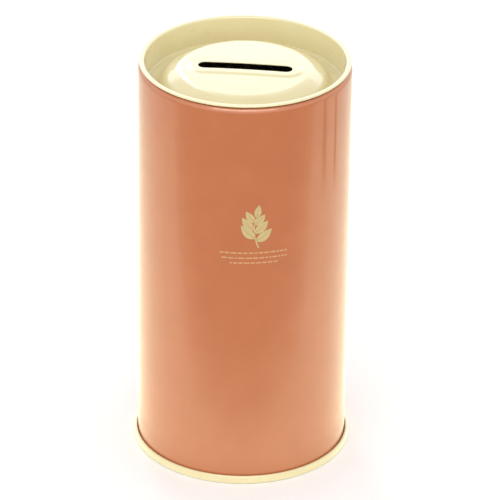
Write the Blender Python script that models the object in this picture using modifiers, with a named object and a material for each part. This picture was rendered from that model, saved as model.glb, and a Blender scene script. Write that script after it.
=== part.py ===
"""Tin money box: a rolled tinplate body, a seamed bottom end and a press-in lid with a coin slot.

Metres, +Z up. The origin is the centre of the base, on the surface that the tin stands on, and +X runs
along the coin slot. Every sheet is drawn as the line through the middle of its thickness.
"""

import math

import bmesh
import bpy

MM = 0.001

# Sheet and clearances
SHEET = 0.30 * MM                # tinplate thickness
HALF_SHEET = SHEET / 2
SEAM_GAP = 0.10 * MM             # between the layers of the bottom seam
REST_GAP = 0.28 * MM             # between the lid's hem and the body's curl, and beside the plug
SEGMENTS = 64                    # facets round the tin

# Body
BODY_RADIUS = 37.5 * MM          # outside of the wall
BODY_TOP = 148.4 * MM            # crown of the curl
CURL_HEIGHT = 2.10 * MM          # how far below the crown the wall starts to curl in
CURL_MOUTH_RADIUS = 35.85 * MM   # inner face of the curl, where the plug passes
CURL_INNER_BEND = 0.35 * MM
CURL_LEG_END = 147.1 * MM        # cut edge of the curl, inside the tin

# Bottom end and its double seam
SEAM_HEIGHT = 3.1 * MM
SEAM_CORNER = 0.45 * MM
HOOK_TOP = 2.3 * MM              # cut edge of the body's hook
COVER_HOOK_END = 1.05 * MM       # cut edge of the bottom end, tucked inside the seam
CHUCK_CORNER = 0.35 * MM
PANEL_UNDERSIDE = 3.25 * MM      # the bottom panel stands this far above the resting face
PANEL_CORNER = 0.5 * MM
PANEL_STEP_RADIUS = 31.5 * MM    # shallow stiffening step in the bottom panel
PANEL_STEP_RISE = 0.6 * MM

# Lock seam down the back of the body
PRINT_AZIMUTH = math.radians(11.7)     # the decorated front, turned from -Y towards +X
LOCK_WIDTH = 5.0 * MM
LOCK_DEPTH = 0.7 * MM            # how far the folds stand in from the wall
LOCK_BITE = 0.1 * MM             # how far the folds are sunk into the wall
LOCK_BOTTOM = 4.2 * MM
LOCK_TOP = 146.3 * MM

# Lid
HEM_RADIUS = 37.2 * MM           # outside of the hemmed rim
HEM_LAYER_GAP = 0.12 * MM        # between the hem's two layers
HEM_END_RADIUS = 36.1 * MM       # cut edge of the hem's lower layer
LIP_CORNER = 0.5 * MM            # bend from the rim into the plug wall
PLUG_TOP_RADIUS = 35.3 * MM      # visible face of the plug wall at the rim
PLUG_FOOT_RADIUS = 35.1 * MM     # and at its foot
PLUG_FOOT_BEND = 1.0 * MM
FLOOR_HEIGHT = 139.5 * MM        # visible face of the ring-shaped floor
SIDE_SLOPE = 58                  # degrees, the side of the raised panel
SIDE_FOOT_BEND = 2.4 * MM
SHOULDER_RADIUS = 27.0 * MM      # where the sloping shoulder turns down into the side
SHOULDER_BEND = 5.0 * MM
SHOULDER_SLOPE = 26              # degrees
CROWN_BEND = 7.0 * MM            # from the shoulder into the panel
TOP_PANEL_RADIUS = 21.2 * MM     # edge of the raised panel
TOP_PANEL_HEIGHT = 146.1 * MM    # visible face at that edge
DOME_RISE = 0.4 * MM             # extra height at the panel's centre

# Coin slot
SLOT_LENGTH = 33.3 * MM
SLOT_WIDTH = 5.0 * MM
SLOT_LAND = 2.4 * MM             # flat border of the slot
SLOT_FLANK = 1.9 * MM            # slope from the border down to the panel
SLOT_LIFT = 0.35 * MM            # height of the border above the panel
SLOT_END_STEPS = 12              # facets round each end of the slot
SLOT_SIDE_STEPS = SEGMENTS // 2 - SLOT_END_STEPS

CORAL_LACQUER = (0.60, 0.23, 0.13, 1.0)
CREAM_ENAMEL = (0.93, 0.85, 0.62, 1.0)
LACQUER_ROUGHNESS = 0.22
ENAMEL_ROUGHNESS = 0.30

MERGE_DISTANCE = 0.000001
SMOOTH_ANGLE = math.radians(35)


def clear_scene():
    for item in list(bpy.data.objects):
        bpy.data.objects.remove(item, do_unlink=True)


def new_collection(name):
    collection = bpy.data.collections.new(name)
    bpy.context.scene.collection.children.link(collection)
    return collection


def lacquered_sheet(name, colour, roughness):
    """A painted sheet material."""
    material = bpy.data.materials.new(name)
    material.use_nodes = True
    shader = material.node_tree.nodes["Principled BSDF"]
    shader.inputs["Base Color"].default_value = colour
    shader.inputs["Roughness"].default_value = roughness
    shader.inputs["Metallic"].default_value = 0.0
    material.diffuse_color = colour
    return material


def arc(centre, size, start, end, steps):
    """Points (radius, height) on a stretch of an ellipse with half axes size, angles in degrees."""
    points = []
    for step in range(steps + 1):
        angle = math.radians(start + (end - start) * step / steps)
        points.append((centre[0] + size[0] * math.cos(angle), centre[1] + size[1] * math.sin(angle)))
    return points


def bend(centre, radius, start, end, steps=3):
    return arc(centre, (radius, radius), start, end, steps)


def add_object(name, mesh, collection, material=None):
    item = bpy.data.objects.new(name, mesh)
    collection.objects.link(item)
    if material:
        mesh.materials.append(material)
    return item


def turned_surface(name, path, collection, material=None):
    """An open surface: the path of (radius, height) points turned once round the Z axis."""
    mesh = bpy.data.meshes.new(name)
    corners = [(radius, 0.0, height) for radius, height in path]
    edges = [(index, index + 1) for index in range(len(corners) - 1)]
    mesh.from_pydata(corners, edges, [])
    item = add_object(name, mesh, collection, material)
    screw = item.modifiers.new("turn", "SCREW")
    screw.angle = math.tau
    screw.steps = SEGMENTS
    screw.render_steps = SEGMENTS
    screw.use_merge_vertices = True
    screw.merge_threshold = MERGE_DISTANCE
    screw.use_smooth_shade = True
    return item


def thicken(item):
    """Give an open surface the sheet's thickness, half on each side."""
    solidify = item.modifiers.new("sheet", "SOLIDIFY")
    solidify.thickness = SHEET
    solidify.offset = 0.0
    solidify.use_even_offset = True


def evaluated_mesh(item, name):
    """The item's mesh with its modifiers applied."""
    bpy.context.view_layer.update()
    return bpy.data.meshes.new_from_object(item.evaluated_get(bpy.context.evaluated_depsgraph_get()))


def seam_layer_radius(layers_out):
    """Middle of a sheet that lies outside the body wall, with layers_out - 1 sheets between."""
    return BODY_RADIUS + layers_out * (SHEET + SEAM_GAP) - HALF_SHEET


def body_path():
    """From the hook in the bottom seam, up the wall and over the curl."""
    wall = BODY_RADIUS - HALF_SHEET
    hook = seam_layer_radius(2)
    fold = (hook - wall) / 2
    fold_height = SHEET + SEAM_GAP + HALF_SHEET + fold
    crown = BODY_TOP - HALF_SHEET
    leg = CURL_MOUTH_RADIUS + HALF_SHEET
    inner_bend = CURL_INNER_BEND
    crown_radius = leg + inner_bend
    curl_size = (wall - crown_radius, CURL_HEIGHT - HALF_SHEET)
    path = [(hook, HOOK_TOP)]
    path += bend((wall + fold, fold_height), fold, 0, -180, 4)
    path += arc((crown_radius, crown - curl_size[1]), curl_size, 0, 90, 4)
    path += bend((crown_radius, crown - inner_bend), inner_bend, 90, 180)[1:]
    path.append((leg, CURL_LEG_END))
    return path


def make_lock_seam(cutters):
    """The folded strip inside the wall, a bar along the back of the tin."""
    depth = LOCK_DEPTH + LOCK_BITE
    middle = BODY_RADIUS - SHEET + LOCK_BITE - depth / 2
    mesh = bpy.data.meshes.new("lock_seam")
    shape = bmesh.new()
    bmesh.ops.create_cube(shape, size=1.0)
    bmesh.ops.scale(shape, vec=(LOCK_WIDTH, depth, LOCK_TOP - LOCK_BOTTOM), verts=shape.verts)
    shape.to_mesh(mesh)
    shape.free()
    bar = add_object("lock_seam", mesh, cutters)
    bar.location = (
        -middle * math.sin(PRINT_AZIMUTH),
        middle * math.cos(PRINT_AZIMUTH),
        (LOCK_TOP + LOCK_BOTTOM) / 2,
    )
    bar.rotation_euler = (0.0, 0.0, PRINT_AZIMUTH)
    bar.hide_render = True
    bar.display_type = "WIRE"
    return bar


def make_body_shell(parts, cutters, material):
    """The printed wall with its hook, curl and lock seam."""
    shell = turned_surface("body_shell", body_path(), parts, material)
    thicken(shell)
    join = shell.modifiers.new("lock seam", "BOOLEAN")
    join.operation = "UNION"
    join.solver = "EXACT"
    join.object = make_lock_seam(cutters)
    return shell


def bottom_path():
    """From the cut edge inside the seam, round the hook, under it and in to the panel's centre."""
    cover = seam_layer_radius(1)
    outside = seam_layer_radius(3)
    fold = (outside - cover) / 2
    fold_height = SEAM_HEIGHT - HALF_SHEET - fold
    rest = HALF_SHEET
    chuck = BODY_RADIUS - SHEET - SEAM_GAP - HALF_SHEET
    panel = PANEL_UNDERSIDE + HALF_SHEET
    path = [(cover, COVER_HOOK_END)]
    path += bend((cover + fold, fold_height), fold, 180, 0, 4)
    path += bend((outside - SEAM_CORNER, rest + SEAM_CORNER), SEAM_CORNER, 0, -90)
    path += bend((chuck + CHUCK_CORNER, rest + CHUCK_CORNER), CHUCK_CORNER, 270, 180, 2)
    path += bend((chuck - PANEL_CORNER, panel - PANEL_CORNER), PANEL_CORNER, 0, 90, 2)
    path.append((PANEL_STEP_RADIUS, panel))
    path.append((PANEL_STEP_RADIUS - PANEL_STEP_RISE, panel + PANEL_STEP_RISE))
    path.append((0.0, panel + PANEL_STEP_RISE))
    return path


def make_bottom_end(parts, material):
    end = turned_surface("bottom_end", bottom_path(), parts, material)
    thicken(end)
    return end


def along_slope(degrees):
    """Unit (radius, height) out of a surface that falls outward at this angle."""
    return math.sin(math.radians(degrees)), math.cos(math.radians(degrees))


def shoulder_path(floor, panel):
    """From the floor up the side, over the sloping shoulder and into the panel."""
    out, up = along_slope(SHOULDER_SLOPE)
    crown = (TOP_PANEL_RADIUS, panel - CROWN_BEND)
    slope_top = (crown[0] + CROWN_BEND * out, crown[1] + CROWN_BEND * up)
    slope_foot = slope_top[1] - (SHOULDER_RADIUS - slope_top[0]) * out / up
    turn = (SHOULDER_RADIUS - SHOULDER_BEND * out, slope_foot - SHOULDER_BEND * up)
    side_out, side_up = along_slope(SIDE_SLOPE)
    side_top = (turn[0] + SHOULDER_BEND * side_out, turn[1] + SHOULDER_BEND * side_up)
    side_drop = side_top[1] - floor - SIDE_FOOT_BEND * (1 - side_up)
    foot = side_top[0] + side_drop * side_up / side_out + SIDE_FOOT_BEND * side_out
    path = bend((foot, floor + SIDE_FOOT_BEND), SIDE_FOOT_BEND, 270, 270 - SIDE_SLOPE)
    path += bend(turn, SHOULDER_BEND, 90 - SIDE_SLOPE, 90 - SHOULDER_SLOPE)
    path += bend(crown, CROWN_BEND, 90 - SHOULDER_SLOPE, 90)
    return path


def lid_path():
    """From the hem's cut edge, round the rim, down the plug, over the floor and up to the panel."""
    under = BODY_TOP + REST_GAP + HALF_SHEET
    fold = (SHEET + HEM_LAYER_GAP) / 2
    over = under + 2 * fold
    rim = HEM_RADIUS - HALF_SHEET - fold
    plug_top = PLUG_TOP_RADIUS + HALF_SHEET
    plug_foot = PLUG_FOOT_RADIUS + HALF_SHEET
    floor = FLOOR_HEIGHT - HALF_SHEET
    path = [(HEM_END_RADIUS, under)]
    path += bend((rim, under + fold), fold, -90, 90)
    path += bend((plug_top + LIP_CORNER, over - LIP_CORNER), LIP_CORNER, 90, 180)
    path += bend((plug_foot - PLUG_FOOT_BEND, floor + PLUG_FOOT_BEND), PLUG_FOOT_BEND, 0, -90)
    path += shoulder_path(floor, TOP_PANEL_HEIGHT - HALF_SHEET)
    return path


def panel_height(x, y):
    """Middle of the slightly domed panel's sheet."""
    inward = 1 - (x * x + y * y) / TOP_PANEL_RADIUS**2
    return TOP_PANEL_HEIGHT - HALF_SHEET + DOME_RISE * inward


def slot_outline(margin):
    """Points (x, y) round the slot, margin outside its edge, from the foot of its +X end."""
    half_straight = (SLOT_LENGTH - SLOT_WIDTH) / 2
    radius = SLOT_WIDTH / 2 + margin
    points = []
    for side in (1, -1):
        for step in range(SLOT_END_STEPS):
            angle = math.pi * (step / SLOT_END_STEPS - 0.5)
            points.append((side * (half_straight + radius * math.cos(angle)), side * radius * math.sin(angle)))
        for step in range(SLOT_SIDE_STEPS):
            x = half_straight * (1 - 2 * step / SLOT_SIDE_STEPS)
            points.append((side * x, side * radius))
    return points


def panel_edge_outline():
    """Points (x, y) round the panel's edge, in step with those of slot_outline."""
    points = []
    for step in range(SEGMENTS):
        angle = math.tau * (step - SLOT_END_STEPS / 2) / SEGMENTS
        points.append((TOP_PANEL_RADIUS * math.cos(angle), TOP_PANEL_RADIUS * math.sin(angle)))
    return points


def slot_panel_rings():
    """Rings of points from the panel's round edge in to the edge of the slot."""
    edge = panel_edge_outline()
    foot = slot_outline(SLOT_LAND + SLOT_FLANK)
    rings = []
    for share in (0.0, 0.35, 0.7, 1.0):
        ring = []
        for (edge_x, edge_y), (foot_x, foot_y) in zip(edge, foot):
            x = edge_x + (foot_x - edge_x) * share
            y = edge_y + (foot_y - edge_y) * share
            ring.append((x, y, panel_height(x, y)))
        rings.append(ring)
    for margin in (SLOT_LAND, 0.0):
        rings.append([(x, y, panel_height(x, y) + SLOT_LIFT) for x, y in slot_outline(margin)])
    return rings


def add_ring_faces(shape, rings):
    """A loft through rings that all have the same number of points."""
    loops = [[shape.verts.new(point) for point in ring] for ring in rings]
    count = len(loops[0])
    for outer, inner in zip(loops, loops[1:]):
        for index in range(count):
            following = (index + 1) % count
            shape.faces.new((outer[index], outer[following], inner[following], inner[index]))


def make_lid(parts, cutters, material):
    """The press-in lid: a turned rim, plug and shoulder, with the slotted panel lofted into it."""
    turned = turned_surface("lid_rim", lid_path(), cutters)
    mesh = evaluated_mesh(turned, "lid")
    bpy.data.objects.remove(turned, do_unlink=True)
    shape = bmesh.new()
    shape.from_mesh(mesh)
    add_ring_faces(shape, slot_panel_rings())
    bmesh.ops.remove_doubles(shape, verts=shape.verts, dist=MERGE_DISTANCE)
    bmesh.ops.recalc_face_normals(shape, faces=shape.faces)
    shape.to_mesh(mesh)
    shape.free()
    mesh.shade_smooth()
    lid = add_object("lid", mesh, parts, material)
    thicken(lid)
    return lid


def main():
    clear_scene()
    parts = new_collection("tin_money_box")
    cutters = new_collection("cutters")
    coral = lacquered_sheet("coral_lacquer", CORAL_LACQUER, LACQUER_ROUGHNESS)
    cream = lacquered_sheet("cream_enamel", CREAM_ENAMEL, ENAMEL_ROUGHNESS)
    make_body_shell(parts, cutters, coral)
    make_bottom_end(parts, cream)
    make_lid(parts, cutters, cream)


main()
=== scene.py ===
"""The looks of the tin money box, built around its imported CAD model.

The three sheets of the tin are made again here as fine meshes of the same size: the printed wall with its
lock seam, the bottom end and the press-in lid. Metres, +Z up, +X along the coin slot.
"""

import math
import random

import bpy
import numpy as np
from mathutils import Matrix, Vector


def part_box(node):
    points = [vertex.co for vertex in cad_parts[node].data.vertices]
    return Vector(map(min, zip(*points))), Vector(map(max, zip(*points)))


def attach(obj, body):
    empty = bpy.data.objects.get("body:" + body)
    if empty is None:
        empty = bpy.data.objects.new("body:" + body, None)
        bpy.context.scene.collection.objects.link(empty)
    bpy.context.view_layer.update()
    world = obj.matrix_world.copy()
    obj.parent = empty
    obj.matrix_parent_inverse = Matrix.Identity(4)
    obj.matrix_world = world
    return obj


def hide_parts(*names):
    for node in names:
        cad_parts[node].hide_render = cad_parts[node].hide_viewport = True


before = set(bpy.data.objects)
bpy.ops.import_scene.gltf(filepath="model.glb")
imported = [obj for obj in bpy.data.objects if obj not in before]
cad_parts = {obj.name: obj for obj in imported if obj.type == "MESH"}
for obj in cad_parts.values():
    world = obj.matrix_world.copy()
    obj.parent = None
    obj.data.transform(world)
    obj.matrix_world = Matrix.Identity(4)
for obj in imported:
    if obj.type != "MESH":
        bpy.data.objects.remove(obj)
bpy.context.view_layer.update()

MM = 0.001

# ---------------------------------------------------------------- sizes, from the CAD model where it has them

BODY_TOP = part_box("body_shell")[1].z
SEAM_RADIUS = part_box("bottom_end")[1].x
PANEL_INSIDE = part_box("bottom_end")[1].z          # inside face of the bottom panel's middle
LID_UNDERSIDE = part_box("lid")[0].z
LID_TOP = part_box("lid")[1].z

SHEET = 0.30 * MM
HALF_SHEET = SHEET / 2
SEAM_GAP = 0.10 * MM
WALL_RADIUS = SEAM_RADIUS - 3 * (SHEET + SEAM_GAP)
COLUMNS = 288                      # faces round the tin

CURL_HEIGHT = 2.10 * MM
CURL_DROP = 0.20 * MM              # the curl sits this far under the top of its CAD solid
CURL_MOUTH = WALL_RADIUS - 1.65 * MM
CURL_INNER_BEND = 0.35 * MM
CURL_LEG = 1.30 * MM
HOOK_TOP = 2.3 * MM

SEAM_HEIGHT = 3.1 * MM
SEAM_CORNER = 0.45 * MM
COVER_HOOK_END = 1.05 * MM
CHUCK_CORNER = 0.35 * MM
PANEL_CORNER = 0.5 * MM
PANEL_STEP_RADIUS = 31.5 * MM
PANEL_STEP_RISE = 0.6 * MM
PANEL_STEP_BEND = 0.5 * MM

HEM_RADIUS = WALL_RADIUS - 0.3 * MM
HEM_LAYER_GAP = 0.12 * MM
HEM_END = HEM_RADIUS - 1.1 * MM
LIP_CORNER = 0.5 * MM
PLUG_TOP = WALL_RADIUS - 2.2 * MM
PLUG_FOOT = PLUG_TOP - 0.2 * MM
PLUG_FOOT_BEND = 1.0 * MM
SIDE_SLOPE = 58                    # degrees, the side of the raised panel
SIDE_FOOT_BEND = 2.4 * MM
SHOULDER_RADIUS = 27.0 * MM
SHOULDER_BEND = 5.0 * MM
SHOULDER_SLOPE = 26
CROWN_BEND = 7.0 * MM
TOP_PANEL_RADIUS = 21.2 * MM
TOP_PANEL_HEIGHT = LID_UNDERSIDE + 6.9 * MM
DOME_RISE = 0.4 * MM

SLOT_LENGTH = 33.3 * MM
SLOT_WIDTH = 5.0 * MM
SLOT_LAND = 2.4 * MM
SLOT_FLANK = 1.9 * MM
SLOT_LIFT = 0.35 * MM
SLOT_EDGE_BEND = 0.25 * MM
SLOT_END_COLUMNS = 40
SLOT_SIDE_COLUMNS = COLUMNS // 2 - SLOT_END_COLUMNS

PRINT_AZIMUTH = math.radians(11.7)  # the decorated front, turned from -Y towards +X

# Lock seam down the back
LOCK_WIDTH = 5.0 * MM
LOCK_DEPTH = 0.7 * MM
LOCK_BOTTOM = 4.2 * MM
LOCK_TOP = BODY_TOP - 2.1 * MM
LOCK_RINGS = 12
GROOVE_DEPTH = 0.16 * MM
GROOVE_WIDTH = 0.13 * MM
LOCK_BULGE = 0.07 * MM

# ---------------------------------------------------------------- the print

INK_LIFT = 0.012 * MM              # the print's film stands this far off the wall
INK_FILM = 0.010 * MM
INK_CELL = 0.8 * MM                # longest step of the film, so that it follows the curve of the wall

SPRIG_FOOT = (1.4 * MM, 94.6 * MM)  # (across, height) of the sprig's stem
SPRIG_BOW = (-1.4 * MM, 101.0 * MM)
SPRIG_TIP = (0.6 * MM, 106.6 * MM)
STEM_WIDTH = 0.50 * MM
VEIN_WIDTH = 0.22 * MM
DASH_HEIGHT = 0.55 * MM
DASH_ROWS = ((92.7 * MM, 24.6 * MM), (90.7 * MM, 23.2 * MM), (88.8 * MM, 17.4 * MM))

# ---------------------------------------------------------------- colours, linear: plain and shaded

CORAL = (0.492, 0.158, 0.060), (0.472, 0.149, 0.056)
CREAM = (0.755, 0.675, 0.405), (0.735, 0.655, 0.385)
TINPLATE = (0.66, 0.62, 0.55), (0.56, 0.52, 0.44)
CUT_STEEL = (0.42, 0.40, 0.38), (0.24, 0.23, 0.22)
SPRIG_INK = (0.57, 0.45, 0.215), (0.52, 0.41, 0.180)
DASH_INK = (0.63, 0.34, 0.160), (0.58, 0.30, 0.140)
VARNISH_IOR = 1.5
UNDERCOAT_SPECULAR = 0.25

# ---------------------------------------------------------------- the studio, and the painted reflections its gloss shows

FLOOR_REACH = 6.0
FLOOR_WHITE = (0.93, 0.93, 0.93)

TABLE_REACH = 1.5
PAINTED_DARK_NEAR = 0.060            # painted dark in front: the reflected table starts to give way to it this far in front of the tin's axis
PAINTED_DARK_FAR = 0.260
PAINTED_DARK_STOPS = ((0.0, 0.0), (0.15, 0.5), (0.40, 0.9), (1.0, 1.0))
# painted tint: warms what the gloss sees of the floor through the table card
PAINTED_REFLECTION_TINT = (1.0, 0.95, 0.80)
PAINTED_GLOW_STRENGTH = 1.30                  # painted glow in the reflected table: full at the tin, fading out over the glow span, in metres from its axis
PAINTED_GLOW_COLOUR = (1.0, 0.92, 0.58)
PAINTED_GLOW_SPAN = (0.04, 0.36)
FAR_TABLE_SHADE = 0.15
FAR_TABLE_SPAN = (0.20, 0.32)
CONTACT_SHADE = 0.25               # the table right beside the tin, which the tin itself shades
CONTACT_SPAN = (0.044, 0.051)
# painted dark: the faint light of the dark areas the gloss sees, in front and in the streaks
PAINTED_DARK_STRENGTH = 0.06
PAINTED_DARK_COLOUR = (1.0, 0.9, 0.8)
PAINTED_STREAK_START = 0.205            # painted dark streaks in the gloss, in place of dark uprights, start beyond the reflected table, this far from the wall
PAINTED_STREAK_FADE = 0.04
PAINTED_STREAK_LENGTH = 0.5
PAINTED_STREAK_DARKNESS = 0.9
PAINTED_STREAKS = (("painted_streak_near", 48.3, 0.022), ("painted_streak_far", 57.9, 0.015))  # degrees, half width

# painted highlight: a glowing card that only the gloss of the curl and the rim sees
PAINTED_HIGHLIGHT_STRENGTH = 5.0
PAINTED_HIGHLIGHT_COLOUR = (1.0, 0.92, 0.78)
PAINTED_HIGHLIGHT_PLACE = (0.10, -1.05, 0.90)
PAINTED_HIGHLIGHT_TILT = 52                  # degrees

WALL_LIGHT = 1.55                  # the studio's pale walls, at the horizon
CEILING_LIGHT = 0.75
# name, size, radiance, place, tilt and turn in degrees
SOFTBOXES = (
    ("front_softbox", (0.80, 0.45), 2.2, (-0.10, -0.80, 0.95), 42.0, 0.0),
    ("rear_softbox", (1.6, 0.55), 1.05, (-0.12, 1.25, 0.62), -62.0, 0.0),
    ("rear_left_softbox", (0.22, 0.95), 4.0, (-0.44, 1.14, 0.72), -62.0, 18.0),
)

CAMERA_AZIMUTH = math.radians(5.5)
CAMERA_ELEVATION = math.radians(27.89)
CAMERA_ROLL = math.radians(0.718)
CAMERA_DISTANCE = 1.650
CAMERA_LENS = 333.0
AIM_RIGHT = 2.44 * MM
AIM_HEIGHT = 74.14 * MM

# ---------------------------------------------------------------- node materials


def new_material(name):
    """A material with its shader, and the nodes and links to build on."""
    material = bpy.data.materials.new(name)
    material.use_nodes = True
    tree = material.node_tree
    return material, tree, tree.nodes["Principled BSDF"]


def noise(tree, scale, detail=3.0, stretch=(1.0, 1.0, 1.0)):
    """Noise in the object's own metres; stretch scales its three directions."""
    coordinates = tree.nodes.new("ShaderNodeTexCoord")
    mapping = tree.nodes.new("ShaderNodeMapping")
    mapping.inputs["Scale"].default_value = stretch
    texture = tree.nodes.new("ShaderNodeTexNoise")
    texture.inputs["Scale"].default_value = scale
    texture.inputs["Detail"].default_value = detail
    tree.links.new(coordinates.outputs["Object"], mapping.inputs["Vector"])
    tree.links.new(mapping.outputs["Vector"], texture.inputs["Vector"])
    return texture.outputs["Fac"]


def between(tree, value, low, high, new_low, new_high):
    """The value's range low..high mapped to new_low..new_high, clamped."""
    node = tree.nodes.new("ShaderNodeMapRange")
    node.inputs["From Min"].default_value = low
    node.inputs["From Max"].default_value = high
    node.inputs["To Min"].default_value = new_low
    node.inputs["To Max"].default_value = new_high
    tree.links.new(value, node.inputs["Value"])
    return node.outputs["Result"]


def mix_colour(tree, factor, first, second):
    """A colour from first at factor 0 to second at 1; each is a colour or another node's output."""
    node = tree.nodes.new("ShaderNodeMix")
    node.data_type = "RGBA"
    tree.links.new(factor, node.inputs["Factor"])
    for socket, colour in ((node.inputs["A"], first), (node.inputs["B"], second)):
        if isinstance(colour, tuple):
            socket.default_value = (*colour, 1.0)
        else:
            tree.links.new(colour, socket)
    return node.outputs["Result"]


def bump(tree, height, strength, distance, before=None):
    """A bumped normal, on top of the one before it."""
    node = tree.nodes.new("ShaderNodeBump")
    node.inputs["Strength"].default_value = strength
    node.inputs["Distance"].default_value = distance
    tree.links.new(height, node.inputs["Height"])
    if before:
        tree.links.new(before, node.inputs["Normal"])
    return node.outputs["Normal"]


def varnish(shader, roughness):
    """A clear coat over a duller ink."""
    shader.inputs["Specular IOR Level"].default_value = UNDERCOAT_SPECULAR
    shader.inputs["Coat Weight"].default_value = 1.0
    shader.inputs["Coat Roughness"].default_value = roughness
    shader.inputs["Coat IOR"].default_value = VARNISH_IOR


def lacquer(name, colour, deep, roughness, coat_roughness):
    """Gloss lacquer over an opaque ink: faint mottle, fine specks and orange peel under a clear coat."""
    material, tree, shader = new_material(name)
    mottle = between(tree, noise(tree, 90.0), 0.35, 0.65, 0.0, 1.0)
    body = mix_colour(tree, mottle, colour, deep)
    specks = between(tree, noise(tree, 2600.0, 2.0), 0.72, 0.80, 0.0, 0.25)
    tree.links.new(mix_colour(tree, specks, body, deep), shader.inputs["Base Color"])
    dulled = between(tree, noise(tree, 240.0), 0.3, 0.7, roughness - 0.04, roughness + 0.04)
    tree.links.new(dulled, shader.inputs["Roughness"])
    varnish(shader, coat_roughness)
    rolled = bump(tree, noise(tree, 900.0, 2.0, (1.0, 1.0, 0.12)), 0.10, 0.00002)
    peel = bump(tree, noise(tree, 420.0, 1.0), 0.12, 0.00003, rolled)
    tree.links.new(peel, shader.inputs["Normal"])
    tree.links.new(peel, shader.inputs["Coat Normal"])
    return material


def tinplate(name, colour, dark, roughness):
    """Bare tinplate: bright rolled metal with fine grain lines and a cloudy, slightly gold finish."""
    material, tree, shader = new_material(name)
    cloud = between(tree, noise(tree, 130.0, 4.0), 0.3, 0.7, 0.0, 1.0)
    tree.links.new(mix_colour(tree, cloud, colour, dark), shader.inputs["Base Color"])
    grain = noise(tree, 1800.0, 3.0, (1.0, 1.0, 0.03))
    worn = between(tree, grain, 0.3, 0.7, roughness - 0.03, roughness + 0.03)
    tree.links.new(worn, shader.inputs["Roughness"])
    shader.inputs["Metallic"].default_value = 1.0
    tree.links.new(bump(tree, grain, 0.06, 0.00002), shader.inputs["Normal"])
    return material


def cut_steel():
    """The bare grey edge of sheared sheet."""
    material, tree, shader = new_material("cut_steel")
    shear = noise(tree, 3000.0, 2.0, (0.2, 0.2, 1.0))
    tree.links.new(mix_colour(tree, shear, *CUT_STEEL), shader.inputs["Base Color"])
    shader.inputs["Metallic"].default_value = 1.0
    tree.links.new(between(tree, shear, 0.2, 0.8, 0.35, 0.6), shader.inputs["Roughness"])
    return material


def ink(name, colour, deep):
    """Flat printing ink under the same varnish as the wall."""
    material, tree, shader = new_material(name)
    grain = between(tree, noise(tree, 1500.0, 2.0), 0.35, 0.7, 0.0, 1.0)
    tree.links.new(mix_colour(tree, grain, colour, deep), shader.inputs["Base Color"])
    tree.links.new(between(tree, grain, 0.0, 1.0, 0.34, 0.42), shader.inputs["Roughness"])
    varnish(shader, 0.05)
    return material


# ---------------------------------------------------------------- profiles


def arc(centre, size, start, end, steps):
    """Points (radius, height) on a stretch of an ellipse with half axes size, angles in degrees."""
    angles = np.radians(np.linspace(start, end, steps + 1))
    return [(centre[0] + size[0] * math.cos(a), centre[1] + size[1] * math.sin(a)) for a in angles]


def bend(centre, radius, start, end, steps=8):
    """An arc of a circle."""
    return arc(centre, (radius, radius), start, end, steps)


def seam_layer_radius(layers_out):
    """Middle of a sheet that lies outside the body wall, with layers_out - 1 sheets between."""
    return WALL_RADIUS + layers_out * (SHEET + SEAM_GAP) - HALF_SHEET


def body_profile():
    """From the hook in the bottom seam, up the wall and over the curl."""
    wall = WALL_RADIUS - HALF_SHEET
    hook = seam_layer_radius(2)
    fold = (hook - wall) / 2
    fold_height = SHEET + SEAM_GAP + HALF_SHEET + fold
    crown = BODY_TOP - CURL_DROP - HALF_SHEET
    leg = CURL_MOUTH + HALF_SHEET
    crown_radius = leg + CURL_INNER_BEND
    curl = (wall - crown_radius, CURL_HEIGHT - HALF_SHEET)
    path = [(hook, HOOK_TOP)]
    path += bend((wall + fold, fold_height), fold, 0, -180)
    path += [(wall, height) for height in np.linspace(SEAM_HEIGHT, crown - curl[1] - 0.5 * MM, 24)]
    path += arc((crown_radius, crown - curl[1]), curl, 0, 90, 14)
    path += bend((crown_radius, crown - CURL_INNER_BEND), CURL_INNER_BEND, 90, 180)[1:]
    path.append((leg, BODY_TOP - CURL_LEG))
    return path


def bottom_profile():
    """From the bottom panel's middle, out and down the chuck wall, under the hook, up and over it."""
    cover = seam_layer_radius(1)
    outside = seam_layer_radius(3)
    fold = (outside - cover) / 2
    fold_height = SEAM_HEIGHT - HALF_SHEET - fold
    rest = HALF_SHEET
    chuck = WALL_RADIUS - SHEET - SEAM_GAP - HALF_SHEET
    middle = PANEL_INSIDE - HALF_SHEET
    panel = middle - PANEL_STEP_RISE
    step = PANEL_STEP_RADIUS
    path = [(0.5 * MM, middle), (12.0 * MM, middle), (24.0 * MM, middle)]
    half_rise = PANEL_STEP_RISE / 2
    path += arc((step - 1.2 * MM, middle - half_rise), (0.6 * MM, half_rise), 90, 0, 6)
    path += arc((step, panel + half_rise), (0.6 * MM, half_rise), 180, 270, 6)[1:]
    path += bend((chuck - PANEL_CORNER, panel - PANEL_CORNER), PANEL_CORNER, 90, 0)
    path += bend((chuck + CHUCK_CORNER, rest + CHUCK_CORNER), CHUCK_CORNER, 180, 270)
    path += bend((outside - SEAM_CORNER, rest + SEAM_CORNER), SEAM_CORNER, -90, 0)
    path += bend((cover + fold, fold_height), fold, 0, 180, 16)
    path.append((cover, COVER_HOOK_END))
    return path


def along_slope(degrees):
    """Unit (radius, height) out of a surface that falls outward at this angle."""
    return math.sin(math.radians(degrees)), math.cos(math.radians(degrees))


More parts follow.
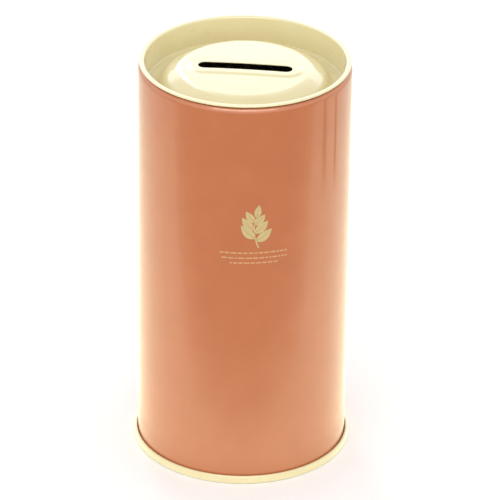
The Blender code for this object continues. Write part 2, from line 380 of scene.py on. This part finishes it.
def shoulder_profile(floor, panel):
    """From the floor up the side, over the sloping shoulder and into the panel."""
    out, up = along_slope(SHOULDER_SLOPE)
    crown = (TOP_PANEL_RADIUS, panel - CROWN_BEND)
    slope_top = (crown[0] + CROWN_BEND * out, crown[1] + CROWN_BEND * up)
    slope_foot = slope_top[1] - (SHOULDER_RADIUS - slope_top[0]) * out / up
    turn = (SHOULDER_RADIUS - SHOULDER_BEND * out, slope_foot - SHOULDER_BEND * up)
    side_out, side_up = along_slope(SIDE_SLOPE)
    side_top = (turn[0] + SHOULDER_BEND * side_out, turn[1] + SHOULDER_BEND * side_up)
    side_drop = side_top[1] - floor - SIDE_FOOT_BEND * (1 - side_up)
    foot = side_top[0] + side_drop * side_up / side_out + SIDE_FOOT_BEND * side_out
    path = bend((foot, floor + SIDE_FOOT_BEND), SIDE_FOOT_BEND, 270, 270 - SIDE_SLOPE, 10)
    path += bend(turn, SHOULDER_BEND, 90 - SIDE_SLOPE, 90 - SHOULDER_SLOPE)
    path += bend(crown, CROWN_BEND, 90 - SHOULDER_SLOPE, 90, 16)
    return path


def lid_profile():
    """From the hem's cut edge, round the rim, down the plug, over the floor and up to the panel."""
    over = LID_TOP - HALF_SHEET
    fold = (SHEET + HEM_LAYER_GAP) / 2
    under = over - 2 * fold
    rim = HEM_RADIUS - HALF_SHEET - fold
    plug_top = PLUG_TOP + HALF_SHEET
    plug_foot = PLUG_FOOT + HALF_SHEET
    floor = LID_UNDERSIDE + HALF_SHEET
    path = [(HEM_END, under)]
    path += bend((rim, under + fold), fold, -90, 90, 10)
    path += bend((plug_top + LIP_CORNER, over - LIP_CORNER), LIP_CORNER, 90, 180)
    path += bend((plug_foot - PLUG_FOOT_BEND, floor + PLUG_FOOT_BEND), PLUG_FOOT_BEND, 0, -90)
    path += shoulder_profile(floor, TOP_PANEL_HEIGHT - HALF_SHEET)
    return path


# ---------------------------------------------------------------- sheets of tinplate


def add_object(name, data):
    item = bpy.data.objects.new(name, data)
    bpy.context.scene.collection.objects.link(item)
    return item


def grid_object(name, rings, centre=None):
    """A surface through closed rings of points; its front is on the right as the rings go up the wall."""
    points = np.concatenate(rings)
    count = len(rings[0])
    faces = []
    for level in range(len(rings) - 1):
        for column in range(count):
            following = (column + 1) % count
            low = level * count
            faces.append((low + column, low + following, low + count + following, low + count + column))
    vertices = [tuple(point) for point in points]
    if centre is not None:
        vertices.append(centre)
        faces += [(column, len(vertices) - 1, (column + 1) % count) for column in range(count)]
    mesh = bpy.data.meshes.new(name)
    mesh.from_pydata(vertices, [], faces)
    mesh.shade_smooth()
    return add_object(name, mesh)


def as_sheet(item, front, back, edge):
    """Give a surface the sheet's thickness, its two faces and its cut edges."""
    for material in (front, back, edge):
        item.data.materials.append(material)
    solidify = item.modifiers.new("sheet", "SOLIDIFY")
    solidify.thickness = SHEET
    solidify.offset = 0.0
    solidify.use_even_offset = True
    solidify.material_offset = 1
    solidify.material_offset_rim = 2
    normals = item.modifiers.new("normals", "WEIGHTED_NORMAL")
    normals.keep_sharp = True


def profile_normals(path):
    """Unit vectors to the right of a path of (radius, height) points."""
    points = np.array(path)
    along = np.gradient(points, axis=0)
    along /= np.linalg.norm(along, axis=1)[:, None]
    return np.stack([along[:, 1], -along[:, 0]], axis=1)


def turned_rings(path, angles, relief=None):
    """Rings round the Z axis; relief(angle) moves the surface out along its own normal."""
    rings = []
    normals = profile_normals(path)
    for (radius, height), (out, up) in zip(path, normals):
        shift = relief(angles) if relief else np.zeros_like(angles)
        reach = radius + out * shift
        rings.append(np.stack([reach * np.cos(angles), reach * np.sin(angles), height + up * shift], axis=1))
    return rings


def seam_angle():
    """The angle about Z, from +X, of the lock seam: opposite the decorated front."""
    return math.pi / 2 + PRINT_AZIMUTH


def lock_relief(angles):
    """The lock seam's mark in the wall: a low swell over the folds with a narrow groove."""
    offset = (angles - seam_angle() + math.pi) % math.tau - math.pi
    across = offset * WALL_RADIUS
    swell = LOCK_BULGE * np.clip(1.3 - np.abs(across - LOCK_WIDTH * 0.3) / (LOCK_WIDTH * 0.5), 0, 1)
    swell = np.where(across < 0, 0.0, swell)
    groove = GROOVE_DEPTH * np.exp(-((across / GROOVE_WIDTH) ** 2))
    return swell - groove


def wall_angles():
    """Even columns round the wall, with finer ones across the lock seam."""
    even = np.arange(COLUMNS) * math.tau / COLUMNS
    across = np.array([0.0, 0.06, 0.12, 0.18, 0.26, 0.4, 0.8, 1.2, 1.6, 2.0, 2.5, 3.0, 3.6, 4.2]) * MM
    fine = seam_angle() + np.concatenate([-across[1:6], across]) / WALL_RADIUS
    clear = [a for a in even if fine.min() - 0.01 > a or a > fine.max() + 0.01]
    return np.sort(np.concatenate([clear, fine]))


def make_wall(front, back, edge):
    """The printed sheet, rolled into a tube."""
    wall = grid_object("printed_wall", turned_rings(body_profile(), wall_angles(), lock_relief))
    as_sheet(wall, front, back, edge)
    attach(wall, "can")
    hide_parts("body_shell")


def make_bottom(front, back, edge):
    """The bottom end with its double seam."""
    path = bottom_profile()
    angles = np.arange(COLUMNS) * math.tau / COLUMNS
    bottom = grid_object("seamed_bottom", turned_rings(path, angles), (0.0, 0.0, path[0][1]))
    as_sheet(bottom, front, back, edge)
    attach(bottom, "can")
    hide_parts("bottom_end")


def slot_outline(margin):
    """Points (x, y) round the slot, margin outside its edge, from the foot of its +X end."""
    half_straight = (SLOT_LENGTH - SLOT_WIDTH) / 2
    radius = SLOT_WIDTH / 2 + margin
    points = []
    for side in (1, -1):
        for step in range(SLOT_END_COLUMNS):
            angle = math.pi * (step / SLOT_END_COLUMNS - 0.5)
            x = half_straight + radius * math.cos(angle)
            points.append((side * x, side * radius * math.sin(angle)))
        for step in range(SLOT_SIDE_COLUMNS):
            x = half_straight * (1 - 2 * step / SLOT_SIDE_COLUMNS)
            points.append((side * x, side * radius))
    return np.array(points)


def slot_distance(points):
    """How far points (x, y) lie outside the slot's edge."""
    half_straight = (SLOT_LENGTH - SLOT_WIDTH) / 2
    beyond = np.maximum(np.abs(points[:, 0]) - half_straight, 0.0)
    return np.hypot(beyond, points[:, 1]) - SLOT_WIDTH / 2


def smooth_step(value):
    """0 to 1 with a soft start and end."""
    value = np.clip(value, 0.0, 1.0)
    return value * value * (3 - 2 * value)


def panel_ring(points):
    """The raised panel's surface over points (x, y): dome, slot border and the slot's rounded edge."""
    inward = 1 - (points**2).sum(axis=1) / TOP_PANEL_RADIUS**2
    distance = slot_distance(points)
    height = TOP_PANEL_HEIGHT - HALF_SHEET + DOME_RISE * inward
    height += SLOT_LIFT * smooth_step((SLOT_LAND + SLOT_FLANK - distance) / SLOT_FLANK)
    near = np.clip(1 - distance / SLOT_EDGE_BEND, 0.0, 1.0)
    height -= SLOT_EDGE_BEND * (1 - np.sqrt(1 - near * near)) * 0.6
    return np.column_stack([points, height])


def lid_angles():
    """Columns in step with those of slot_outline."""
    return (np.arange(COLUMNS) - SLOT_END_COLUMNS / 2) * math.tau / COLUMNS


def panel_rings():
    """Rings from the panel's round edge in to the edge of the slot."""
    angles = lid_angles()
    edge = TOP_PANEL_RADIUS * np.stack([np.cos(angles), np.sin(angles)], axis=1)
    foot = slot_outline(SLOT_LAND + SLOT_FLANK)
    rings = [panel_ring(edge + (foot - edge) * share) for share in np.linspace(0, 1, 13)[1:]]
    margins = np.concatenate([
        np.linspace(SLOT_LAND + SLOT_FLANK, SLOT_LAND, 9)[1:],
        np.linspace(SLOT_LAND, SLOT_EDGE_BEND, 4)[1:],
        SLOT_EDGE_BEND * np.cos(np.linspace(0, math.pi / 2, 7))[1:],
    ])
    return rings + [panel_ring(slot_outline(margin)) for margin in margins]


def make_lid(front, back, edge):
    """The press-in lid, one pressing from hem to slot."""
    lid = grid_object("pressed_lid", turned_rings(lid_profile(), lid_angles()) + panel_rings())
    as_sheet(lid, front, back, edge)
    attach(lid, "lid")
    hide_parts("lid")


# ---------------------------------------------------------------- folds inside and print outside

def on_wall(across, height, radius):
    """A point on the wall: across is metres to the right of the print's middle, seen from outside."""
    angle = PRINT_AZIMUTH + across / WALL_RADIUS
    return (radius * math.sin(angle), -radius * math.cos(angle), height)


def sprig_stem(share):
    """A point (across, height) on the sprig's bowed stem."""
    foot, bow, tip = (np.array(point) for point in (SPRIG_FOOT, SPRIG_BOW, SPRIG_TIP))
    return (1 - share) ** 2 * foot + 2 * share * (1 - share) * bow + share**2 * tip


def leaf_halves(foot, lean, length, width):
    """The two halves of a pointed leaf, with its midrib left bare; lean is degrees clockwise from up."""
    halves = []
    for side in (-1, 1):
        rows = []
        for share in np.linspace(0.0, 1.0, 15):
            turn = math.radians(lean * (1 - 0.22 * share))
            middle = foot + length * share * np.array([math.sin(turn), math.cos(turn)])
            outward = np.array([math.cos(turn), -math.sin(turn)]) * side
            half_width = width / 2 * math.sin(math.pi * share**0.82) ** 0.9 + 0.01 * MM
            rib = min(VEIN_WIDTH / 2, half_width * 0.5) * (1 - share)
            rows.append([middle + outward * (rib + (half_width - rib) * step / 2) for step in range(3)])
        halves.append(rows)
    return halves


def sprig_patches():
    """A stem with three pairs of leaves and one at the tip."""
    shares = np.linspace(0.0, 1.0, 17)
    stem = []
    for share in shares:
        width = STEM_WIDTH * (1 - 0.55 * share)
        stem.append([sprig_stem(share) + np.array([width * side, 0.0]) for side in (-0.5, 0.5)])
    patches = [stem]
    for share, length, width in ((0.26, 7.2, 3.2), (0.52, 6.6, 3.0), (0.78, 5.4, 2.6)):
        for side in (-1, 1):
            foot = sprig_stem(share - 0.04 * side)
            patches += leaf_halves(foot, side * (66 - 20 * share) + 4, length * MM, width * MM)
    patches += leaf_halves(sprig_stem(0.97), 14, 5.2 * MM, 2.4 * MM)
    return patches


def dash_patches():
    """Three rows of short dashes of uneven length, under the sprig."""
    lengths = random.Random(11)
    patches = []
    for height, row_length in DASH_ROWS:
        start = -row_length / 2
        while start < row_length / 2 - 0.5 * MM:
            end = min(start + lengths.uniform(0.7, 2.3) * MM, row_length / 2)
            columns = np.linspace(start, end, 2 + int((end - start) / INK_CELL))
            patches.append([
                [np.array([x, height + DASH_HEIGHT * side]) for x in columns] for side in (-0.5, 0.5)
            ])
            start = end + 0.42 * MM
    return patches


def make_print(name, patches, material):
    """A thin closed film of ink on the wall; each patch is rows of (across, height) points."""
    points = []
    faces = []
    for rows in patches:
        first = len(points)
        columns = len(rows[0])
        right = rows[0][-1] - rows[0][0]
        up = rows[-1][0] - rows[0][0]
        faces_out = right[0] * up[1] - right[1] * up[0] > 0
        points += [on_wall(across, height, WALL_RADIUS + INK_LIFT) for row in rows for across, height in row]
        for level in range(len(rows) - 1):
            for column in range(columns - 1):
                corner = first + level * columns + column
                face = (corner, corner + 1, corner + columns + 1, corner + columns)
                faces.append(face if faces_out else tuple(reversed(face)))
    mesh = bpy.data.meshes.new(name)
    mesh.from_pydata(points, [], faces)
    mesh.materials.append(material)
    film = add_object(name, mesh)
    solidify = film.modifiers.new("film", "SOLIDIFY")
    solidify.thickness = INK_FILM
    solidify.offset = 1.0
    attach(film, "can")


def make_lock_folds(material):
    """The flat folds of the lock seam, inside the wall."""
    inside = WALL_RADIUS - SHEET
    corner = 0.2 * MM
    half = LOCK_WIDTH / 2
    depth = LOCK_DEPTH
    outline = [(-half, 0.0)]
    outline += bend((-half + corner, depth - corner), corner, 180, 90, 4)
    outline += [(half * 0.55, depth), (half * 0.6, depth - SHEET)]
    outline += bend((half - corner, depth - SHEET - corner), corner, 90, 0, 4)
    outline += [(half, 0.0)]
    back = math.pi * WALL_RADIUS
    rings = []
    for height in np.linspace(LOCK_BOTTOM, LOCK_TOP, LOCK_RINGS):
        ring = [on_wall(back - x, height, inside + 0.05 * MM - y) for x, y in outline]
        rings.append(np.array(ring))
    folds = grid_object("lock_seam_folds", rings)
    mesh = folds.data
    count = len(outline)
    caps = bpy.data.meshes.new("lock_seam_folds")
    faces = [tuple(face.vertices) for face in mesh.polygons]
    faces.append(tuple(range(count)))
    faces.append(tuple(reversed(range(count * (LOCK_RINGS - 1), count * LOCK_RINGS))))
    caps.from_pydata([tuple(vertex.co) for vertex in mesh.vertices], [], faces)
    folds.data = caps
    caps.materials.append(material)
    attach(folds, "can")


# ---------------------------------------------------------------- studio and camera


def flat_sheet(name, half_width, near, far, height):
    """A level rectangle from y = near to y = far."""
    mesh = bpy.data.meshes.new(name)
    corners = [(-half_width, near), (half_width, near), (half_width, far), (-half_width, far)]
    mesh.from_pydata([(x, y, height) for x, y in corners], [], [(0, 1, 2, 3)])
    item = add_object(name, mesh)
    return item


def make_floor():
    """A pale seamless studio floor."""
    floor = flat_sheet("studio_floor", FLOOR_REACH, -FLOOR_REACH, FLOOR_REACH, 0.0)
    material, _, shader = new_material("studio_floor")
    shader.inputs["Base Color"].default_value = (*FLOOR_WHITE, 1.0)
    shader.inputs["Roughness"].default_value = 0.9
    shader.inputs["Specular IOR Level"].default_value = 0.1
    floor.data.materials.append(material)


def painted_reflection_card(name, half_width, near, far, height):
    """A card of painted reflection: only the gloss shows it; it hides nothing and casts no shadow."""
    card = flat_sheet(name, half_width, near, far, height)
    card.visible_camera = False
    card.visible_diffuse = False
    card.visible_transmission = False
    card.visible_volume_scatter = False
    card.visible_shadow = False
    material, tree, shader = new_material(name)
    tree.nodes.remove(shader)
    card.data.materials.append(material)
    return card, tree


def object_axes(tree):
    """The card's own coordinates: the whole vector, and X, Y and Z."""
    coordinates = tree.nodes.new("ShaderNodeTexCoord")
    split = tree.nodes.new("ShaderNodeSeparateXYZ")
    tree.links.new(coordinates.outputs["Object"], split.inputs["Vector"])
    return coordinates.outputs["Object"], split.outputs


def calculate(tree, operation, *values):
    node = tree.nodes.new("ShaderNodeMath")
    node.operation = operation
    for value, socket in zip(values, node.inputs):
        tree.links.new(value, socket)
    return node.outputs["Value"]


def ramp(tree, value, stops):
    """A smooth grey ramp through (position, brightness) stops."""
    node = tree.nodes.new("ShaderNodeValToRGB")
    node.color_ramp.interpolation = "B_SPLINE"
    elements = node.color_ramp.elements
    for position, _ in stops[2:]:
        elements.new(position)
    for element, (position, brightness) in zip(elements, stops):
        element.position = position
        element.color = (brightness, brightness, brightness, 1.0)
    tree.links.new(value, node.inputs["Fac"])
    return node.outputs["Color"]


def emission(tree, colour, strength=1.0):
    """A shader that glows with a steady strength."""
    node = tree.nodes.new("ShaderNodeEmission")
    node.inputs["Color"].default_value = (*colour, 1.0)
    node.inputs["Strength"].default_value = strength
    return node


def clear_pane(tree, colour=(1.0, 1.0, 1.0)):
    """A shader that lets everything through, tinted."""
    node = tree.nodes.new("ShaderNodeBsdfTransparent")
    node.inputs["Color"].default_value = (*colour, 1.0)
    return node.outputs["BSDF"]


def shade_over(tree, factor, lit, shade):
    """Finish the card: lit where factor is 0, and shade where it is 1."""
    mixed = tree.nodes.new("ShaderNodeMixShader")
    tree.links.new(factor, mixed.inputs["Fac"])
    tree.links.new(lit, mixed.inputs[1])
    tree.links.new(shade, mixed.inputs[2])
    tree.links.new(mixed.outputs["Shader"], tree.nodes["Material Output"].inputs["Surface"])


def make_table_reflection():
    """Painted reflection of a white table for the gloss: painted glow round the tin, painted shade beside it
    and far off, and painted dark in front.
    """
    table, tree = painted_reflection_card("table_reflection", TABLE_REACH, -TABLE_REACH, TABLE_REACH, 0.5 * MM)
    table.rotation_euler = (0.0, 0.0, CAMERA_AZIMUTH)
    place, axes = object_axes(tree)
    length = tree.nodes.new("ShaderNodeVectorMath")
    length.operation = "LENGTH"
    tree.links.new(place, length.inputs[0])
    from_axis = length.outputs["Value"]
    # painted dark reflection in front of the tin; the floor there is evenly lit
    painted_dark_mask = between(tree, axes["Y"], -PAINTED_DARK_NEAR, -PAINTED_DARK_FAR, 0.0, 1.0)
    dark = ramp(tree, painted_dark_mask, PAINTED_DARK_STOPS)
    contact = between(tree, from_axis, *CONTACT_SPAN, 1.0, 0.0)
    beside = ramp(tree, contact, ((0.0, 0.0), (0.35, CONTACT_SHADE * 0.8), (1.0, CONTACT_SHADE)))
    away = between(tree, from_axis, *FAR_TABLE_SPAN, 0.0, FAR_TABLE_SHADE)
    # painted shade mask: the dark in front, far off and beside the tin
    painted_shade_mask = calculate(tree, "MAXIMUM", calculate(tree, "MAXIMUM", dark, away), beside)
    # painted glow: light added to the gloss's view of the table near the tin, with no lamp there
    glow = emission(tree, PAINTED_GLOW_COLOUR)
    tree.links.new(between(tree, from_axis, *PAINTED_GLOW_SPAN, PAINTED_GLOW_STRENGTH, 0.0), glow.inputs["Strength"])
    lit = tree.nodes.new("ShaderNodeAddShader")
    # painted tint on the floor the gloss sees through the card
    tree.links.new(clear_pane(tree, PAINTED_REFLECTION_TINT), lit.inputs[0])
    tree.links.new(glow.outputs["Emission"], lit.inputs[1])
    shade = emission(tree, PAINTED_DARK_COLOUR, PAINTED_DARK_STRENGTH).outputs["Emission"]
    shade_over(tree, painted_shade_mask, lit.outputs["Shader"], shade)


def make_painted_streak(name, bearing, half_width):
    """A painted dark streak for the gloss, beyond the reflected table, aimed from a bearing on the wall."""
    end = PAINTED_STREAK_START + PAINTED_STREAK_LENGTH
    line, tree = painted_reflection_card(name, half_width, PAINTED_STREAK_START, end, 1.0 * MM)
    turn = CAMERA_AZIMUTH + bearing
    line.location = (WALL_RADIUS * math.sin(turn), -WALL_RADIUS * math.cos(turn), 0.0)
    line.rotation_euler = (0.0, 0.0, CAMERA_AZIMUTH + 2 * bearing - math.pi)
    _, axes = object_axes(tree)
    # painted dark streak, soft across and fading in along its length
    aside = calculate(tree, "ABSOLUTE", axes["X"])
    across = between(tree, aside, half_width * 0.3, half_width, 1.0, 0.0)
    fade_end = PAINTED_STREAK_START + PAINTED_STREAK_FADE
    along = between(tree, axes["Y"], PAINTED_STREAK_START, fade_end, 0.0, PAINTED_STREAK_DARKNESS)
    strength = calculate(tree, "MULTIPLY", across, along)
    shade = emission(tree, (1.0, 1.0, 1.0), PAINTED_DARK_STRENGTH).outputs["Emission"]
    shade_over(tree, strength, clear_pane(tree), shade)


def make_painted_highlight():
    """A painted highlight for the gloss of the curl and the rim: a glowing card in place of the bright wall
    and ceiling behind the camera.
    """
    ceiling, tree = painted_reflection_card("painted_highlight_card", 0.80, -0.42, 0.42, 0.0)
    ceiling.location = PAINTED_HIGHLIGHT_PLACE
    ceiling.rotation_euler = (math.radians(PAINTED_HIGHLIGHT_TILT), 0.0, CAMERA_AZIMUTH)
    # painted highlight: the card glows though it is no lamp
    glow = emission(tree, PAINTED_HIGHLIGHT_COLOUR, PAINTED_HIGHLIGHT_STRENGTH).outputs["Emission"]
    tree.links.new(glow, tree.nodes["Material Output"].inputs["Surface"])


def softbox(name, size, radiance, place, tilt, turn):
    """An area light of the given radiance: tilt, from facing straight down, and turn are degrees."""
    light = bpy.data.lights.new(name, "AREA")
    light.shape = "RECTANGLE"
    light.size, light.size_y = size
    light.energy = radiance * math.pi * size[0] * size[1]
    lamp = add_object(name, light)
    lamp.location = place
    lamp.rotation_euler = (math.radians(tilt), 0.0, CAMERA_AZIMUTH + math.radians(turn))
    lamp.visible_camera = False


def make_lights():
    """Soft light all round, from pale walls and a dimmer ceiling, and the softboxes."""
    world = bpy.data.worlds.new("studio")
    bpy.context.scene.world = world
    world.use_nodes = True
    tree = world.node_tree
    background = tree.nodes["Background"]
    background.inputs["Color"].default_value = (1.0, 1.0, 1.0, 1.0)
    coordinates = tree.nodes.new("ShaderNodeTexCoord")
    split = tree.nodes.new("ShaderNodeSeparateXYZ")
    tree.links.new(coordinates.outputs["Generated"], split.inputs["Vector"])
    walls_to_ceiling = between(tree, split.outputs["Z"], 0.0, 1.0, WALL_LIGHT, CEILING_LIGHT)
    tree.links.new(walls_to_ceiling, background.inputs["Strength"])
    for box in SOFTBOXES:
        softbox(*box)


def make_camera():
    """The camera, turned round the tin, raised and slightly rolled."""
    data = bpy.data.cameras.new("camera")
    data.sensor_width = 36.0
    data.lens = CAMERA_LENS
    data.clip_start = 0.1
    data.clip_end = 50.0
    camera = add_object("camera", data)
    back = Vector((
        math.sin(CAMERA_AZIMUTH) * math.cos(CAMERA_ELEVATION),
        -math.cos(CAMERA_AZIMUTH) * math.cos(CAMERA_ELEVATION),
        math.sin(CAMERA_ELEVATION),
    ))
    right = Vector((math.cos(CAMERA_AZIMUTH), math.sin(CAMERA_AZIMUTH), 0.0))
    up = back.cross(right)
    tilted_right = right * math.cos(CAMERA_ROLL) + up * math.sin(CAMERA_ROLL)
    tilted_up = up * math.cos(CAMERA_ROLL) - right * math.sin(CAMERA_ROLL)
    place = right * AIM_RIGHT + Vector((0.0, 0.0, AIM_HEIGHT)) + back * CAMERA_DISTANCE
    turn = Matrix((tilted_right, tilted_up, back)).transposed()
    camera.matrix_world = Matrix.Translation(place) @ turn.to_4x4()
    bpy.context.scene.camera = camera


def main():
    bpy.context.scene.view_settings.view_transform = "Standard"
    coral = lacquer("coral_lacquer", *CORAL, 0.38, 0.05)
    cream = lacquer("cream_enamel", *CREAM, 0.30, 0.08)
    tin = tinplate("tinplate", *TINPLATE, 0.28)
    steel = cut_steel()
    make_wall(coral, tin, steel)
    make_bottom(cream, tin, steel)
    make_lid(cream, tin, steel)
    make_lock_folds(tin)
    make_print("printed_sprig", sprig_patches(), ink("sprig_ink", *SPRIG_INK))
    make_print("printed_dashes", dash_patches(), ink("dash_ink", *DASH_INK))
    make_floor()
    # painted reflections and highlight: cards that only the gloss sees
    make_table_reflection()
    make_painted_highlight()
    for name, bearing, half_width in PAINTED_STREAKS:
        make_painted_streak(name, math.radians(bearing), half_width)
    make_lights()
    make_camera()


main()
